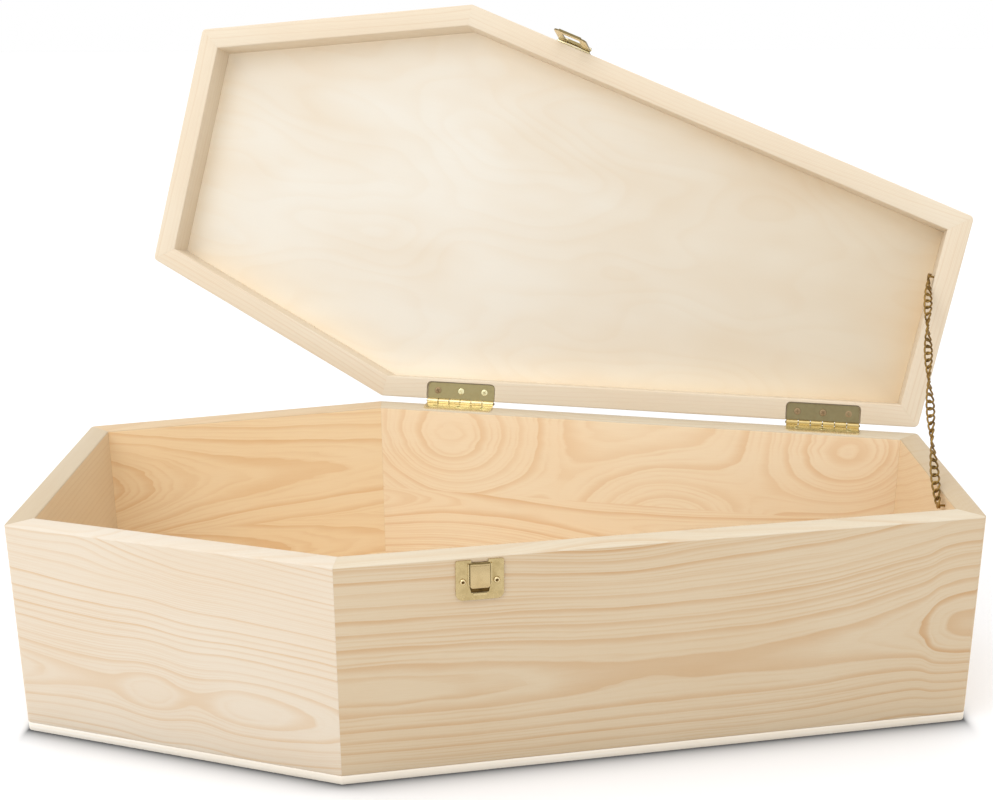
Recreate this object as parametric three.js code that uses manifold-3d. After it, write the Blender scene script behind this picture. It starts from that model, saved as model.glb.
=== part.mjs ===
// Small pine coffin box: a six-sided box with a thin plywood bottom, and a framed lid that stands open on two
// brass butt hinges and is held back by a chain. Millimetres, +Z up.
// The origin is on the underside, below the middle of the length. +X runs from the head to the foot and +Y to
// the hinged side.
import * as THREE from 'three';
import { mergeVertices } from 'three/addons/utils/BufferGeometryUtils.js';
import Module from 'manifold-3d';

const wasm = await Module();
wasm.setup();

// Outline of the box, seen from above
const coffinLength = 580;
const shoulderFromHead = 201;
const headWidth = 178;
const shoulderWidth = 294;
const footWidth = 149;

// Boards and panels
const wallHeight = 131;
const wallThickness = 15;
const bottomThickness = 6;
const railHeight = 23.5;
const railWidth = 15;
const lidPanelThickness = 6;
const easedEdge = 0.9;
const jointGap = 0.1;
const rimGap = 0.5;
const openAngle = 105;

// Butt hinges
const hingeLength = 50;
const hingeFromShoulder = 60;
const hingeFromFoot = 64.5;
const leafReach = 12.1;
const leafThickness = 1.2;
const leafBackCornerRadius = 0.1;
const knuckleRadius = 2;
const knuckleCount = 6;
const knuckleGap = 0.2;
const axisBehindWall = 1.6;
const hingePinRadius = 0.85;
const pinOverhang = 0.7;
const runningClearance = 0.15;
const mortiseMargin = 0.8;
const mortiseCornerRadius = 3.4;
const mortiseBackCornerRadius = 1;
const mortisePastWall = 3;

// Screws of the hinges
const screwSpacing = 17.6;
const screwFromWallFace = 6.3;
const screwHeadRadius = 2.4;
const screwHeadDepth = 1.1;
const screwShankRadius = 1;
const screwLength = 9;
const screwRecessRadius = 0.95;
const screwRecessDepth = 0.6;

// Catch on the front: plate and tongue on the box
const catchFromShoulder = 81.2;
const catchPlateWidth = 27.4;
const catchPlateHeight = 24.2;
const catchPlateBelowRim = 1.6;
const catchSheet = 1;
const catchCornerRadius = 4.2;
const catchRimCornerRadius = 1.2;
const catchNotchWidth = 9.6;
const catchNotchDepth = 1.5;
const tongueWidth = 11.2;
const tongueTop = 3.6;
const tongueLength = 14.8;
const tongueStandOff = 2.5;
const tongueSheet = 0.95;
const tongueRoll = 1.3;
const tongueEase = 0.4;
const tongueLipTurn = 0.2;
const cheekGap = 0.5;
const cheekWidth = 0.8;
const cheekStandOff = 1.9;
const cheekLength = 13;
const footLipWidth = 8;
const footLipHeight = 1.4;
const footLipStandOff = 1.5;
const footLipBelowTongue = 3.2;

// Catch on the lid: plate, barrel and swinging hasp
const haspPlateWidth = 26;
const haspPlateHeight = 13.5;
const haspPlateAboveRim = 0.9;
const haspBarrelRadius = 1.6;
const haspAxisStandOff = 3;
const haspAxisAboveRim = 2.9;
const haspPinRadius = 0.7;
const haspWidth = 25;
const haspKnuckle = 10.4;
const haspReach = 28.5;
const haspBar = 6.4;
const haspWindowWidth = 13.4;
const haspWindowTop = 4.6;
const haspInnerFace = 2;
const haspTipFlare = 0.6;
const haspTipBend = 3;
const haspTipEdge = 0.5;
const haspTipBite = 0.3;
const haspCornerRadius = 4;
const haspTopCornerRadius = 0.8;
const haspWindowCornerRadius = 1;
const haspWebHeight = 1.3;
const haspRestAngle = 2;

// Small round-headed nails of the catch
const nailHeadRadius = 1.9;
const nailHeadHeight = 0.75;
const nailHeadTopRadius = 1.5;
const nailHeadDish = 0.3;
const nailShankRadius = 0.8;
const nailLength = 7;
const nailFromPlateSide = 4.1;
const nailBelowPlateTop = 12.8;
const haspNailFromSide = 4.5;
const haspNailFromTop = 4;

// Lid chain and its two tacks
const chainPitch = 5.8;
const chainWire = 1.3;
const chainLinkWidth = 5.4;
const chainLinkHook = 1.17;
const chainBendShare = 0.6;
const chainSway = 3.3;
const chainTwist = 90;
const boxTackStandOff = 3.3;
const boxTackBelowRim = 6.2;
const boxTackFromMiddle = 42;
const lidTackStandOff = 2.7;
const lidTackAboveRim = 5;
const lidTackFromMiddle = 29;
const tackShankRadius = 0.75;
const tackHeadRadius = 2.1;
const tackHeadHeight = 0.9;
const tackHeadTopRadius = 1.6;
const tackBite = 8;
const tackGap = 0.3;

// Fineness of the round shapes, and how far a cutting shape runs past what it cuts
const barrelSides = 12;
const screwSides = 10;
const wireSides = 4;
const linkSteps = 8;
const curveSteps = 3;
const overshoot = 1;
const weldDistance = 1e-4;

// Worked out from the sizes above
const rimHeight = bottomThickness + wallHeight;
const lidRimHeight = rimHeight + rimGap;
const axisAboveRim = knuckleRadius;
const pilotGap = 0.2;
const degrees = Math.PI / 180;
const corners = outline();
const backEdge = edgeFrame(corners[4], corners[3]);
const frontEdge = edgeFrame(corners[1], corners[2]);

// The six corners, anticlockwise from the front corner of the head
function outline() {
  const head = -coffinLength / 2;
  const shoulder = head + shoulderFromHead;
  const foot = coffinLength / 2;
  return [
    new THREE.Vector2(head, -headWidth / 2),
    new THREE.Vector2(shoulder, -shoulderWidth / 2),
    new THREE.Vector2(foot, -footWidth / 2),
    new THREE.Vector2(foot, footWidth / 2),
    new THREE.Vector2(shoulder, shoulderWidth / 2),
    new THREE.Vector2(head, headWidth / 2),
  ];
}

// A straight side: where it starts, its length and the way it runs
function edgeFrame(start, end) {
  const along = end.clone().sub(start);
  return { start, length: along.length(), angle: Math.atan2(along.y, along.x) };
}

// Corner of the outline moved inwards, so that both sides that meet there keep one board thickness
function insetCorner(index, inset) {
  const here = corners[index];
  const before = corners[(index + 5) % 6].clone().sub(here).normalize();
  const after = corners[(index + 1) % 6].clone().sub(here).normalize();
  const halfAngle = Math.acos(before.dot(after)) / 2;
  const inward = before.add(after).normalize();
  return here.clone().addScaledVector(inward, inset / Math.sin(halfAngle));
}

// Materials
function metal(colour, roughness) {
  return new THREE.MeshStandardMaterial({ color: colour, roughness, metalness: 1 });
}

function wood(colour) {
  return new THREE.MeshStandardMaterial({ color: colour, roughness: 0.62, metalness: 0 });
}

const wallPine = () => wood(0xe8d3b0);
const railPine = () => wood(0xecdac0);
const plywood = () => wood(0xf1e5cf);
const brass = () => metal(0xc9ab5e, 0.3);
const agedBrass = () => metal(0x7d5c2c, 0.45);

// Closed shapes, joined and cut from each other
function toSolid(geometry) {
  const bare = geometry.clone();
  bare.deleteAttribute('normal');
  bare.deleteAttribute('uv');
  const merged = mergeVertices(bare, weldDistance);
  const vertProperties = new Float32Array(merged.attributes.position.array);
  const triVerts = new Uint32Array(merged.index.array);
  return new wasm.Manifold(new wasm.Mesh({ numProp: 3, vertProperties, triVerts }));
}

function toGeometry(solid) {
  const result = solid.getMesh();
  const geometry = new THREE.BufferGeometry();
  geometry.setAttribute('position', new THREE.BufferAttribute(new Float32Array(result.vertProperties), 3));
  geometry.setIndex(new THREE.BufferAttribute(new Uint32Array(result.triVerts), 1));
  geometry.computeVertexNormals();
  return geometry;
}

function joined(geometries) {
  return geometries.map(toSolid).reduce((whole, piece) => whole.add(piece));
}

function cutFrom(geometry, cutters) {
  return toGeometry(toSolid(geometry).subtract(joined(cutters)));
}

function mesh(name, geometry, material) {
  const piece = new THREE.Mesh(geometry, material);
  piece.name = name;
  return piece;
}

// Plain shapes placed by their limits
function block(low, high) {
  const size = [0, 1, 2].map((axis) => high[axis] - low[axis]);
  const middle = [0, 1, 2].map((axis) => (high[axis] + low[axis]) / 2);
  return new THREE.BoxGeometry(...size).translate(...middle);
}

function rodAlongX(radius, from, to, y, z, sides) {
  const rod = new THREE.CylinderGeometry(radius, radius, to - from, sides);
  return rod.rotateZ(Math.PI / 2).translate((from + to) / 2, y, z);
}

// A plate lying in the XY plane from one height to another
function lyingPlate(shape, bottom, top) {
  const options = { depth: top - bottom, bevelEnabled: false, curveSegments: curveSteps };
  return new THREE.ExtrudeGeometry(shape, options).translate(0, 0, bottom);
}

// A plate standing in the XZ plane: its back is at y = -near and its face at y = -far
function standingPlate(shape, near, far) {
  return lyingPlate(shape, 0, far - near).rotateX(Math.PI / 2).translate(0, -near, 0);
}

// A bent strip seen from its side: the profile's x is the height and its y the stand-off from the wall
function bentStrip(profile, width) {
  const upright = new THREE.Matrix4().makeBasis(
    new THREE.Vector3(0, 0, 1),
    new THREE.Vector3(0, -1, 0),
    new THREE.Vector3(1, 0, 0),
  );
  return lyingPlate(profile, -width / 2, width / 2).applyMatrix4(upright);
}

// Rectangle with a corner radius of its own at the bottom and at the top
function roundedRectangle(left, right, bottom, top, bottomRadius, topRadius) {
  const shape = new THREE.Shape();
  shape.moveTo(left + bottomRadius, bottom);
  shape.lineTo(right - bottomRadius, bottom);
  shape.absarc(right - bottomRadius, bottom + bottomRadius, bottomRadius, -Math.PI / 2, 0);
  shape.lineTo(right, top - topRadius);
  shape.absarc(right - topRadius, top - topRadius, topRadius, 0, Math.PI / 2);
  shape.lineTo(left + topRadius, top);
  shape.absarc(left + topRadius, top - topRadius, topRadius, Math.PI / 2, Math.PI);
  shape.lineTo(left, bottom + bottomRadius);
  shape.absarc(left + bottomRadius, bottom + bottomRadius, bottomRadius, Math.PI, Math.PI * 1.5);
  return shape;
}

// Section of a board: x runs from the outer face to the inner one, y is the height
function boardSection(width, bottom, top, easeBottom, easeTop) {
  const shape = new THREE.Shape();
  shape.moveTo(easeBottom, bottom);
  shape.lineTo(width - easeBottom, bottom);
  shape.lineTo(width, bottom + easeBottom);
  shape.lineTo(width, top - easeTop);
  shape.lineTo(width - easeTop, top);
  shape.lineTo(easeTop, top);
  shape.lineTo(0, top - easeTop);
  shape.lineTo(0, bottom + easeBottom);
  return shape;
}

// A board along one side of the outline, mitred at both ends
function mitredBoard(side, width, section) {
  const next = (side + 1) % 6;
  const along = corners[next].clone().sub(corners[side]).normalize();
  const outer = [corners[side].clone().addScaledVector(along, jointGap)];
  outer.push(corners[next].clone().addScaledVector(along, -jointGap));
  const inner = [insetCorner(side, width).addScaledVector(along, jointGap)];
  inner.push(insetCorner(next, width).addScaledVector(along, -jointGap));
  const board = new THREE.ExtrudeGeometry(section, { depth: 1, bevelEnabled: false });
  const points = board.attributes.position;
  for (let i = 0; i < points.count; i += 1) {
    const depth = points.getX(i) / width;
    const height = points.getY(i);
    const share = points.getZ(i);
    const start = outer[0].clone().lerp(inner[0], depth);
    const end = outer[1].clone().lerp(inner[1], depth);
    const place = start.lerp(end, share);
    points.setXYZ(i, place.x, place.y, height);
  }
  return board;
}

// A panel with the whole outline, from one height to another
function outlinePanel(bottom, top) {
  return lyingPlate(new THREE.Shape(corners), bottom, top);
}

// Moves a shape from a side's own frame (x along the side, y across it) to the box
function onEdge(geometry, edge, along, height) {
  geometry.translate(along, 0, height);
  geometry.rotateZ(edge.angle);
  return geometry.translate(edge.start.x, edge.start.y, 0);
}

function edgeGroup(edge, along, height) {
  const group = new THREE.Group();
  group.position.set(edge.start.x, edge.start.y, height);
  group.rotation.z = edge.angle;
  const slide = new THREE.Group();
  slide.position.x = along;
  group.add(slide);
  return { group, slide };
}

const hingePlaces = [
  { name: 'head', along: hingeFromShoulder },
  { name: 'foot', along: backEdge.length - hingeFromFoot },
];

const screwPlaces = [-1, 0, 1].map((step) => step * screwSpacing);

// Countersunk screw: the head's face is at height 0 and the shank points down
function screw() {
  const profile = [
    [0, -screwLength],
    [screwShankRadius, -screwLength + screwShankRadius],
    [screwShankRadius, -screwHeadDepth],
    [screwHeadRadius, 0],
    [screwRecessRadius, 0],
    [0, -screwRecessDepth],
  ];
  return turned(profile, screwSides);
}

// The hole that a screw sits in, a little wider all round
function screwHole() {
  const profile = [
    [0, -screwLength - pilotGap],
    [screwShankRadius + pilotGap, -screwLength - pilotGap],
    [screwShankRadius + pilotGap, -screwHeadDepth],
    [screwHeadRadius + pilotGap, 0],
    [screwHeadRadius + pilotGap, knuckleRadius],
    [0, knuckleRadius],
  ];
  return turned(profile, screwSides);
}

// Turned shape whose profile runs from the bottom of the axis to its top; the axis becomes Z
function turned(profile, sides) {
  const lathe = new THREE.LatheGeometry(profile.map(([r, h]) => new THREE.Vector2(r, h)), sides);
  return lathe.rotateX(Math.PI / 2);
}

// Hinge frame: x along the pin, y outwards from the wall face, z up from the box rim
function knuckleSpans(owner) {
  const step = hingeLength / knuckleCount;
  const spans = [];
  for (let i = 0; i < knuckleCount; i += 1) {
    if (i % 2 === owner) spans.push([i * step - hingeLength / 2, (i + 1) * step - hingeLength / 2]);
  }
  return spans;
}

// One leaf with its knuckles. Owner 0 is the lid's leaf and 1 the box's. Their corners follow the mortise.
function hingeLeaf(owner) {
  const half = hingeLength / 2;
  const plateBottom = owner === 1 ? 0 : 2 * axisAboveRim - leafThickness;
  const cornerRadius = mortiseCornerRadius - mortiseMargin;
  const shape = roundedRectangle(-half, half, -leafReach, axisBehindWall, cornerRadius, leafBackCornerRadius);
  const solids = [lyingPlate(shape, plateBottom, plateBottom + leafThickness)];
  knuckleSpans(owner).forEach(([from, to]) => {
    solids.push(rodAlongX(knuckleRadius, from, to, axisBehindWall, axisAboveRim, barrelSides));
  });
  const reach = knuckleRadius + overshoot;
  const clearY = axisBehindWall - knuckleRadius - runningClearance;
  const boreRadius = hingePinRadius + runningClearance;
  const boreHalf = half + overshoot;
  const cutters = [rodAlongX(boreRadius, -boreHalf, boreHalf, axisBehindWall, axisAboveRim, barrelSides)];
  knuckleSpans(1 - owner).forEach(([from, to]) => {
    const low = [from - knuckleGap, clearY, axisAboveRim - reach];
    const high = [to + knuckleGap, axisBehindWall + reach, axisAboveRim + reach];
    cutters.push(block(low, high));
  });
  screwPlaces.forEach((x) => cutters.push(placedScrew(screwHole(), owner, x)));
  return toGeometry(joined(solids).subtract(joined(cutters)));
}

// A screw or its hole in a leaf: the heads of both leaves face the gap between them
function placedScrew(geometry, owner, x) {
  if (owner === 1) return geometry.translate(x, -screwFromWallFace, leafThickness);
  geometry.rotateX(Math.PI);
  return geometry.translate(x, -screwFromWallFace, 2 * axisAboveRim - leafThickness);
}

function hingePin() {
  const half = hingeLength / 2 + pinOverhang;
  return rodAlongX(hingePinRadius, -half, half, axisBehindWall, axisAboveRim, barrelSides);
}

// Pocket in the lid's rail that takes both leaves when the lid is shut
function hingeMortise() {
  const half = hingeLength / 2 + mortiseMargin;
  const front = -leafReach - mortiseMargin;
  const back = mortisePastWall;
  const shape = roundedRectangle(-half, half, front, back, mortiseCornerRadius, mortiseBackCornerRadius);
  return lyingPlate(shape, 0, 2 * axisAboveRim + jointGap);
}

// Catch frame: x along the front, -y outwards, z up from the box rim
function nail() {
  const profile = [
    [0, -nailLength],
    [nailShankRadius, -nailLength + nailShankRadius],
    [nailShankRadius, 0],
    [nailHeadRadius, 0],
    [nailHeadTopRadius, nailHeadHeight],
    [0, nailHeadHeight - nailHeadDish],
  ];
  return turned(profile, screwSides);
}

function nailHole() {
  const radius = nailShankRadius + pilotGap;
  const hole = new THREE.CylinderGeometry(radius, radius, 2 * (nailLength + pilotGap), screwSides);
  return hole.rotateX(Math.PI / 2);
}

// Turns a nail or its hole to point into the front and moves it to its place on a plate
function placedNail(geometry, x, z) {
  return geometry.rotateX(Math.PI / 2).translate(x, -catchSheet - jointGap, z);
}

const boxNailPlaces = [-1, 1].map((side) => ({
  x: side * (catchPlateWidth / 2 - nailFromPlateSide),
  z: -catchPlateBelowRim - nailBelowPlateTop,
}));

const haspPlateBottom = rimGap + haspPlateAboveRim;
const haspAxisHeight = rimGap + haspAxisAboveRim;
const lidNailPlaces = [-1, 1].map((side) => ({
  x: side * (haspPlateWidth / 2 - haspNailFromSide),
  z: haspPlateBottom + haspPlateHeight - haspNailFromTop,
}));

function catchPlate() {
  const half = catchPlateWidth / 2;
  const top = -catchPlateBelowRim;
  const bottom = top - catchPlateHeight;
  const shape = roundedRectangle(-half, half, bottom, top, catchCornerRadius, catchRimCornerRadius);
  const solids = [standingPlate(shape, jointGap, catchSheet)];
  const cheekStart = tongueWidth / 2 + cheekGap;
  [-1, 1].forEach((side) => {
    const inside = side * cheekStart;
    const outside = side * (cheekStart + cheekWidth);
    const low = [Math.min(inside, outside), -cheekStandOff, -tongueTop - cheekLength];
    solids.push(block(low, [Math.max(inside, outside), -catchSheet / 2, -tongueTop]));
  });
  const lipTop = -tongueTop - tongueLength - footLipBelowTongue;
  solids.push(block([-footLipWidth / 2, -footLipStandOff, lipTop - footLipHeight],
    [footLipWidth / 2, -catchSheet / 2, lipTop]));
  const cutters = [block([-catchNotchWidth / 2, -catchSheet * 2, top - catchNotchDepth],
    [catchNotchWidth / 2, catchSheet, top + overshoot])];
  boxNailPlaces.forEach(({ x, z }) => cutters.push(placedNail(nailHole(), x, z)));
  return toGeometry(joined(solids).subtract(joined(cutters)));
}

// Spring tongue: rolled over at the top, free at the lip below
function catchTongue() {
  const back = catchSheet + jointGap;
  const top = -tongueTop;
  const bottom = top - tongueLength;
  const rollFace = back + tongueRoll;
  const profile = new THREE.Shape();
  profile.moveTo(top, back);
  profile.lineTo(top, rollFace - tongueEase);
  profile.lineTo(top - tongueEase, rollFace);
  profile.lineTo(top - tongueRoll, rollFace);
  profile.lineTo(top - tongueRoll - tongueEase, rollFace - tongueEase);
  profile.lineTo(bottom + tongueEase, tongueStandOff);
  profile.lineTo(bottom, tongueStandOff - tongueEase);
  profile.lineTo(bottom, tongueStandOff - tongueSheet - tongueLipTurn);
  profile.lineTo(bottom + tongueSheet, tongueStandOff - tongueSheet);
  profile.lineTo(top - 2 * tongueRoll, back);
  return bentStrip(profile, tongueWidth);
}

function haspPlate() {
  const half = haspPlateWidth / 2;
  const top = haspPlateBottom + haspPlateHeight;
  const shape = roundedRectangle(-half, half, haspPlateBottom, top, catchRimCornerRadius, catchCornerRadius);
  const solids = [standingPlate(shape, jointGap, catchSheet)];
  const inner = haspKnuckle / 2 + knuckleGap;
  [-1, 1].forEach((side) => {
    const from = Math.min(side * inner, side * haspWidth / 2);
    const to = Math.max(side * inner, side * haspWidth / 2);
    solids.push(rodAlongX(haspBarrelRadius, from, to, -haspAxisStandOff, haspAxisHeight, barrelSides));
    solids.push(block([from, -haspAxisStandOff, haspAxisHeight],
      [to, -catchSheet / 2, haspAxisHeight + haspWebHeight]));
  });
  const cutters = [haspBore()];
  const room = haspBarrelRadius + runningClearance;
  cutters.push(rodAlongX(room, -inner, inner, -haspAxisStandOff, haspAxisHeight, barrelSides));
  lidNailPlaces.forEach(({ x, z }) => cutters.push(placedNail(nailHole(), x, z)));
  return toGeometry(joined(solids).subtract(joined(cutters)));
}

function haspBore() {
  const half = haspWidth / 2 + overshoot;
  const radius = haspPinRadius + runningClearance;
  return rodAlongX(radius, -half, half, -haspAxisStandOff, haspAxisHeight, barrelSides);
}

function haspPin() {
  const half = haspWidth / 2 + pinOverhang;
  return rodAlongX(haspPinRadius, -half, half, -haspAxisStandOff, haspAxisHeight, barrelSides);
}

// The swinging hasp as it hangs when latched: knuckle, side arms, window and flared tip
function haspFlap() {
  const half = haspWidth / 2;
  const halfKnuckle = haspKnuckle / 2;
  const outerFace = haspInnerFace + catchSheet;
  const bottom = haspAxisHeight - haspReach;
  const top = haspAxisHeight - haspBarrelRadius - knuckleGap;
  const shape = roundedRectangle(-half, half, bottom, top, haspCornerRadius, haspTopCornerRadius);
  const solids = [
    standingPlate(shape, haspInnerFace, outerFace),
    rodAlongX(haspBarrelRadius, -halfKnuckle, halfKnuckle, -haspAxisStandOff, haspAxisHeight, barrelSides),
    block([-halfKnuckle, -outerFace, top - overshoot], [halfKnuckle, -haspInnerFace, haspAxisHeight]),
    bentStrip(haspTip(bottom, outerFace), 2 * (half - haspCornerRadius)),
  ];
  const window = roundedRectangle(-haspWindowWidth / 2, haspWindowWidth / 2, bottom + haspBar,
    haspAxisHeight - haspWindowTop, haspWindowCornerRadius, haspWindowCornerRadius);
  const windowFar = outerFace + haspTipFlare + overshoot;
  const cutters = [haspBore(), standingPlate(window, haspInnerFace - overshoot, windowFar)];
  return toGeometry(joined(solids).subtract(joined(cutters)));
}

// Side of the tip, flared outwards for a finger
function haspTip(bottom, outerFace) {
  const tip = new THREE.Shape();
  tip.moveTo(bottom, haspInnerFace);
  tip.lineTo(bottom + haspTipBend, outerFace - haspTipBite);
  tip.lineTo(bottom + haspTipEdge, outerFace + haspTipFlare);
  tip.lineTo(bottom - haspTipEdge, outerFace + haspTipFlare);
  return tip;
}

// Chain tack: flat round head held off the wood, so that a link at its stand-off hangs behind the head
function tack(standOff) {
  const headBack = standOff + chainWire / 2 + tackGap;
  const profile = [
    [0, -tackBite],
    [tackShankRadius, -tackBite + tackShankRadius],
    [tackShankRadius, headBack],
    [tackHeadRadius, headBack],
    [tackHeadTopRadius, headBack + tackHeadHeight],
    [0, headBack + tackHeadHeight],
  ];
  return turned(profile, screwSides).rotateY(-Math.PI / 2);
}

function tackHole() {
  const radius = tackShankRadius + pilotGap;
  return rodAlongX(radius, -overshoot, tackBite + pilotGap, 0, 0, screwSides);
}

const footEnd = coffinLength / 2;
const boxTack = new THREE.Vector3(footEnd - wallThickness, -boxTackFromMiddle, rimHeight - boxTackBelowRim);
const lidTack = new THREE.Vector3(footEnd - railWidth, -lidTackFromMiddle, lidRimHeight + lidTackAboveRim);

// The lid's parts are drawn shut and turned back about the hinge pins
const lidPivot = new THREE.Group();
const lidShut = new THREE.Group();
placeLid();

function placeLid() {
  const across = new THREE.Vector2(-Math.sin(backEdge.angle), Math.cos(backEdge.angle));
  const pinLine = backEdge.start.clone().addScaledVector(across, axisBehindWall);
  const along = new THREE.Vector3(Math.cos(backEdge.angle), Math.sin(backEdge.angle), 0);
  lidPivot.position.set(pinLine.x, pinLine.y, rimHeight + axisAboveRim);
  lidPivot.quaternion.setFromAxisAngle(along, -openAngle * degrees);
  lidShut.position.copy(lidPivot.position).negate();
  lidPivot.add(lidShut);
  lidPivot.updateMatrixWorld(true);
}

const linkHalfLength = (chainPitch + chainLinkHook) / 2;

// One oval link lying in the XY plane, long in X
function chainLink() {
  const halfWidth = (chainLinkWidth - chainWire) / 2;
  const ring = new THREE.TorusGeometry(halfWidth, chainWire / 2, wireSides, linkSteps);
  const points = ring.attributes.position;
  const stretch = linkHalfLength - halfWidth;
  for (let i = 0; i < points.count; i += 1) {
    const x = points.getX(i);
    const share = Math.min(1, Math.max(-1, x / (halfWidth * chainBendShare)));
    points.setX(i, x + share * stretch);
  }
  return ring;
}

// The chain runs from tack to tack with a slight sway towards the head. Its end links lie flat to the wood.
function chain() {
  const bottom = boxTack.clone().add(new THREE.Vector3(-boxTackStandOff, 0, 0));
  const topShut = lidTack.clone().add(new THREE.Vector3(-lidTackStandOff, 0, 0));
  const top = topShut.applyMatrix4(lidShut.matrixWorld);
  const boxFacing = new THREE.Vector3(-1, 0, 0);
  const lidFacing = boxFacing.clone().applyQuaternion(lidPivot.quaternion);
  const span = top.distanceTo(bottom);
  const place = (share) => {
    const point = bottom.clone().lerp(top, share);
    point.x -= chainSway * Math.sqrt(Math.sin(Math.PI * Math.min(1, Math.max(0, share))));
    return point;
  };
  const hook = linkHalfLength - chainWire / 2 - tackShankRadius - tackGap;
  const free = span - 2 * hook;
  const steps = 2 * Math.round(free / chainPitch / 2);
  const halfStep = free / span / steps / 2;
  const solids = [];
  for (let i = 0; i <= steps; i += 1) {
    const share = hook / span + 2 * halfStep * i;
    const ahead = place(share + halfStep).sub(place(share - halfStep)).normalize();
    const facing = boxFacing.clone().lerp(lidFacing, share);
    const side = facing.cross(ahead).normalize();
    const turn = new THREE.Matrix4().makeBasis(ahead, side, ahead.clone().cross(side));
    const middle = place(share - halfStep).lerp(place(share + halfStep), 0.5);
    const link = chainLink().rotateX((i % 2) * chainTwist * degrees);
    solids.push(link.applyMatrix4(turn).translate(middle.x, middle.y, middle.z));
  }
  // Two links that press on each other shut in a crumb of air, so only the outside shell is kept
  const shells = joined(solids).decompose();
  const chainShell = shells.reduce((largest, shell) => (shell.volume() > largest.volume() ? shell : largest));
  return toGeometry(chainShell);
}

// Holes in the woodwork
function leafScrewHoles(owner) {
  return hingePlaces.flatMap(({ along }) => screwPlaces.map((x) => (
    onEdge(placedScrew(screwHole(), owner, x), backEdge, along, rimHeight))));
}

function nailHoles(places) {
  return places.map(({ x, z }) => (
    onEdge(placedNail(nailHole(), x, z), frontEdge, catchFromShoulder, rimHeight)));
}

const sides = ['front_head_side', 'front_long_side', 'foot_end', 'back_long_side', 'back_head_side', 'head_end'];

function boxWalls() {
  const section = boardSection(wallThickness, bottomThickness + jointGap, rimHeight, 0, easedEdge);
  const holes = {
    front_long_side: () => nailHoles(boxNailPlaces),
    foot_end: () => [tackHole().translate(boxTack.x, boxTack.y, boxTack.z)],
    back_long_side: () => leafScrewHoles(1),
  };
  return sides.map((side, index) => {
    const board = mitredBoard(index, wallThickness, section);
    const shape = holes[side] ? cutFrom(board, holes[side]()) : board;
    return mesh(`box_${side}`, shape, wallPine());
  });
}

function lidRails() {
  const section = boardSection(railWidth, lidRimHeight, lidRimHeight + railHeight, easedEdge, 0);
  const holes = {
    front_long_side: () => nailHoles(lidNailPlaces),
    foot_end: () => [tackHole().translate(lidTack.x, lidTack.y, lidTack.z)],
    back_long_side: () => [
      ...leafScrewHoles(0),
      ...hingePlaces.map(({ along }) => onEdge(hingeMortise(), backEdge, along, rimHeight)),
    ],
  };
  return sides.map((side, index) => {
    const rail = mitredBoard(index, railWidth, section);
    const shape = holes[side] ? cutFrom(rail, holes[side]()) : rail;
    return mesh(`lid_${side}`, shape, railPine());
  });
}

function hinges(boxGroup, lidGroup) {
  hingePlaces.forEach(({ name, along }) => {
    const onBox = edgeGroup(backEdge, along, rimHeight);
    const onLid = edgeGroup(backEdge, along, rimHeight);
    onBox.slide.add(mesh(`hinge_${name}_box_leaf`, hingeLeaf(1), brass()));
    onBox.slide.add(mesh(`hinge_${name}_pin`, hingePin(), brass()));
    onLid.slide.add(mesh(`hinge_${name}_lid_leaf`, hingeLeaf(0), brass()));
    screwPlaces.forEach((x, index) => {
      const number = index + 1;
      onBox.slide.add(mesh(`hinge_${name}_box_screw_${number}`, placedScrew(screw(), 1, x), brass()));
      onLid.slide.add(mesh(`hinge_${name}_lid_screw_${number}`, placedScrew(screw(), 0, x), brass()));
    });
    boxGroup.add(onBox.group);
    lidGroup.add(onLid.group);
  });
}

function boxCatch() {
  const { group, slide } = edgeGroup(frontEdge, catchFromShoulder, rimHeight);
  slide.add(mesh('catch_box_plate', catchPlate(), brass()));
  slide.add(mesh('catch_tongue', catchTongue(), brass()));
  boxNailPlaces.forEach(({ x, z }, index) => {
    slide.add(mesh(`catch_box_nail_${index + 1}`, placedNail(nail(), x, z), brass()));
  });
  return group;
}

function lidCatch() {
  const { group, slide } = edgeGroup(frontEdge, catchFromShoulder, rimHeight);
  slide.add(mesh('catch_lid_plate', haspPlate(), brass()));
  slide.add(mesh('catch_hasp_pin', haspPin(), brass()));
  lidNailPlaces.forEach(({ x, z }, index) => {
    slide.add(mesh(`catch_lid_nail_${index + 1}`, placedNail(nail(), x, z), brass()));
  });
  const swing = new THREE.Group();
  swing.position.set(0, -haspAxisStandOff, haspAxisHeight);
  swing.rotation.x = -haspRestAngle * degrees;
  const hasp = mesh('catch_hasp', haspFlap(), brass());
  hasp.position.set(0, haspAxisStandOff, -haspAxisHeight);
  swing.add(hasp);
  slide.add(swing);
  return group;
}

function buildCoffin() {
  const coffin = new THREE.Group();
  coffin.add(mesh('box_bottom', outlinePanel(0, bottomThickness), plywood()));
  coffin.add(...boxWalls());
  const panelBottom = lidRimHeight + railHeight + jointGap;
  lidShut.add(mesh('lid_panel', outlinePanel(panelBottom, panelBottom + lidPanelThickness), plywood()));
  lidShut.add(...lidRails());
  hinges(coffin, lidShut);
  coffin.add(boxCatch());
  lidShut.add(lidCatch());
  const boxTackMesh = mesh('chain_box_tack', tack(boxTackStandOff), agedBrass());
  boxTackMesh.position.copy(boxTack);
  coffin.add(boxTackMesh);
  const lidTackMesh = mesh('chain_lid_tack', tack(lidTackStandOff), agedBrass());
  lidTackMesh.position.copy(lidTack);
  lidShut.add(lidTackMesh);
  coffin.add(mesh('chain', chain(), agedBrass()));
  coffin.add(lidPivot);
  return coffin;
}

export default buildCoffin();
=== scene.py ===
import math
import random

import bmesh
import bpy
from mathutils import Matrix, Vector


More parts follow.
